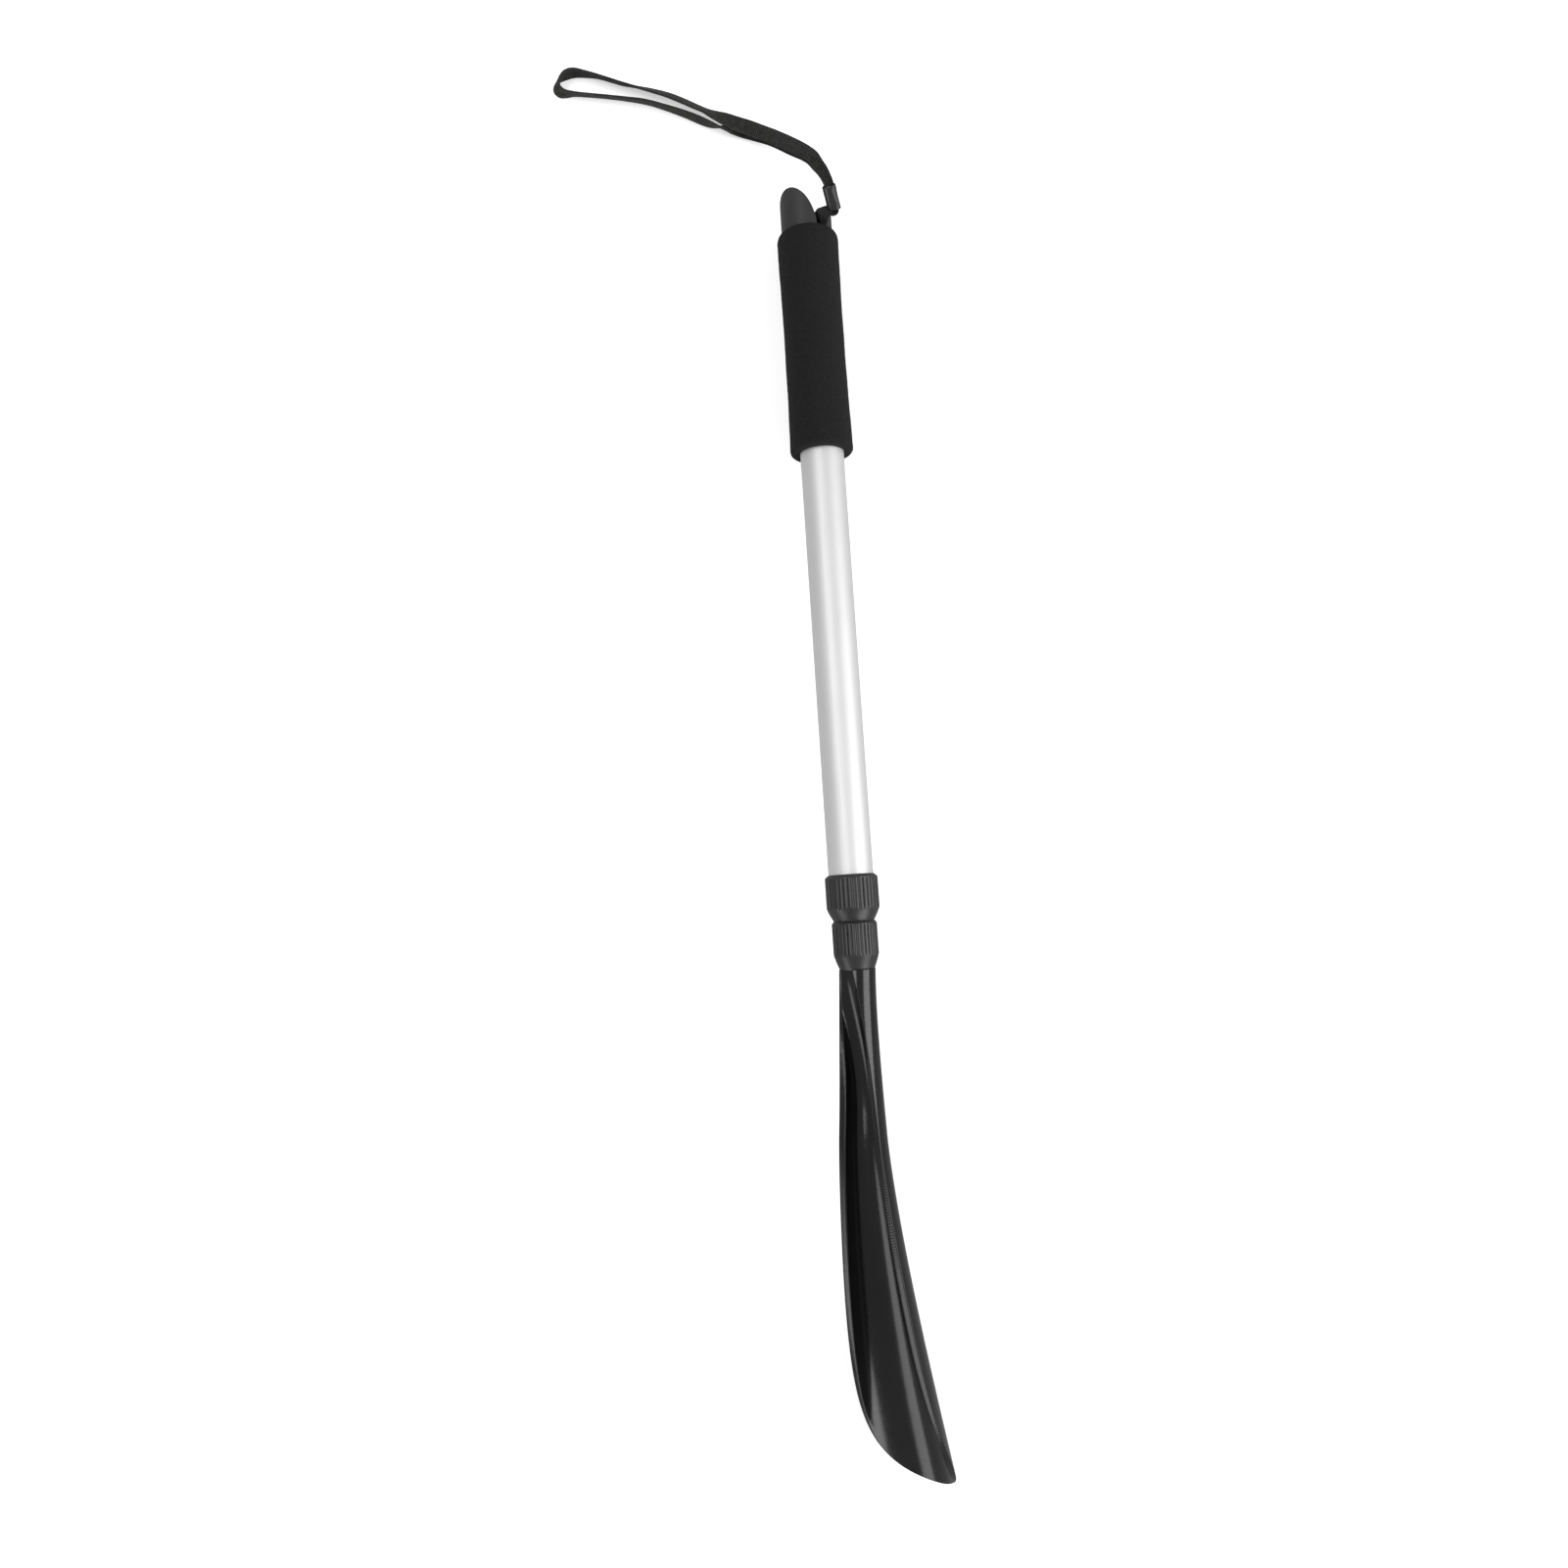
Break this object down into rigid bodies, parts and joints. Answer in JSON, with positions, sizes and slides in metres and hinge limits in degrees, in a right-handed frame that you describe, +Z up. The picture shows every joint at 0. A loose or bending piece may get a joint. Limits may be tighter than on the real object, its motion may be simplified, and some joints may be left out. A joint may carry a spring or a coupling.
{
  "type": "long shoehorn",
  "caption": "Long telescopic shoehorn with twist-lock aluminium tubes, foam grip, wrist strap and curved plastic blade.",
  "frame": {"origin": "middle of the bottom of the closed shoehorn's box, measured without the strap, as it lies on its back; the lowest point is the blade's back near its tip", "axes": "+Y along the tubes towards the handle, +Z up, +X to the right seen from above with the handle away; the blade opens up and to the -X side"},
  "size_m": [0.1594, 0.7277, 0.053],
  "materials": {
    "outer_aluminium": "satin anodised",
    "inner_aluminium": "satin anodised",
    "foam": "fine closed-cell foam",
    "cap_plastic": "fine matte moulding",
    "collar_plastic": "satin moulding",
    "blade_plastic": "polished",
    "ribbon": "flat braid",
    "sleeve_plastic": "glossy",
    "steel": "zinc plated",
    "lock_plastic": "natural nylon",
    "wedge_plastic": "filled nylon"
  },
  "bodies": {
    "handle": {"outer_tube": "outer_aluminium", "foam_grip": "foam", "end_cap": "cap_plastic", "outer_collar": "collar_plastic", "wrist_strap": "ribbon", "strap_anchor": "ribbon", "strap_sleeve": "sleeve_plastic"},
    "upper_grip": {"upper_expander": "lock_plastic"},
    "upper_wedge": {"upper_cone": "wedge_plastic"},
    "middle_section": {"middle_tube": "inner_aluminium", "middle_collar": "collar_plastic", "upper_plug": "wedge_plastic", "upper_stud": "steel", "upper_stop_nut": "steel"},
    "lower_grip": {"lower_expander": "lock_plastic"},
    "lower_wedge": {"lower_cone": "wedge_plastic"},
    "lower_section": {"inner_tube": "inner_aluminium", "blade": "blade_plastic", "blade_pin": "steel", "lower_plug": "wedge_plastic", "lower_stud": "steel", "lower_stop_nut": "steel"}
  },
  "joints": [
    {"name": "middle_extend", "type": "slide", "parent": "handle", "child": "upper_grip", "axis": [0, -1, 0], "range_m": [0, 0.2]},
    {"name": "middle_twist", "type": "hinge", "parent": "upper_grip", "child": "middle_section", "pos_m": [-0.00728, 0, 0.03275], "axis": [0, -1, 0], "range_deg": [0, 360]},
    {"name": "upper_wedge_slide", "type": "slide", "parent": "upper_grip", "child": "upper_wedge", "axis": [0, 1, 0], "range_m": [0, 0.00081]},
    {"name": "lower_extend", "type": "slide", "parent": "middle_section", "child": "lower_grip", "axis": [0, -1, 0], "range_m": [0, 0.18]},
    {"name": "lower_twist", "type": "hinge", "parent": "lower_grip", "child": "lower_section", "pos_m": [-0.00728, 0, 0.03275], "axis": [0, -1, 0], "range_deg": [0, 360]},
    {"name": "lower_wedge_slide", "type": "slide", "parent": "lower_grip", "child": "lower_wedge", "axis": [0, 1, 0], "range_m": [0, 0.00081]}
  ],
  "couplings": [
    {"joint": "upper_wedge_slide", "follows": "middle_twist", "m_per_rad": 0.00012732},
    {"joint": "lower_wedge_slide", "follows": "lower_twist", "m_per_rad": 0.00012732}
  ]
}
